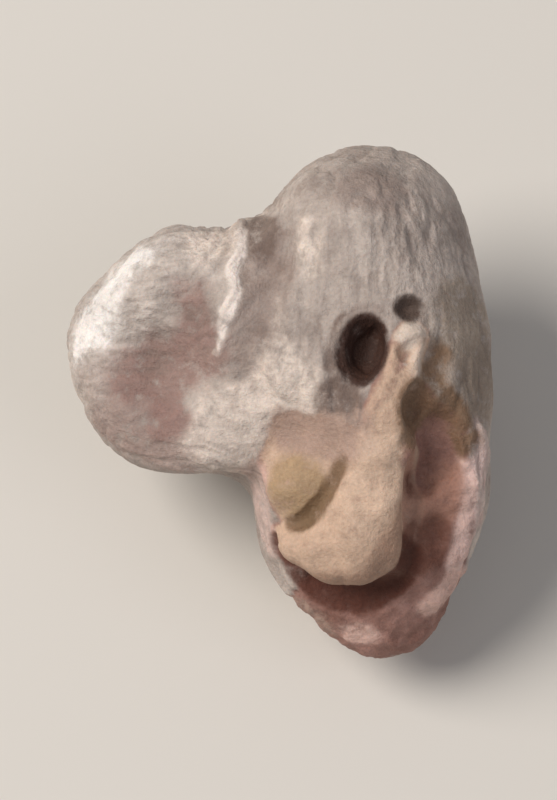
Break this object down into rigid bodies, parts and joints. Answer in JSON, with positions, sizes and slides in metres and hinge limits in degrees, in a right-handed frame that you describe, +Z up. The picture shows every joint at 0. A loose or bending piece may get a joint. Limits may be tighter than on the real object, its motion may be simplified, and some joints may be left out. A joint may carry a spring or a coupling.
{
  "type": "water caltrop nut",
  "caption": "Dried, peeled water caltrop kernel with a blunt horn, a round dome, a pitted face and a broken hollow; it lies on its back on a small flat spot.",
  "frame": {"origin": "on the surface it lies on, under the middle of its box", "axes": "+Z up out of the broad face, +Y towards the dome, -X towards the horn"},
  "size_m": [0.0182, 0.021, 0.0145],
  "materials": {
    "kernel_skin": "dry and matt: grey-beige thin skin with a powdery bloom, cream starch where it broke, pink-brown hollows"
  },
  "bodies": {
    "root": {"dried_kernel": "kernel_skin"}
  },
  "joints": []
}
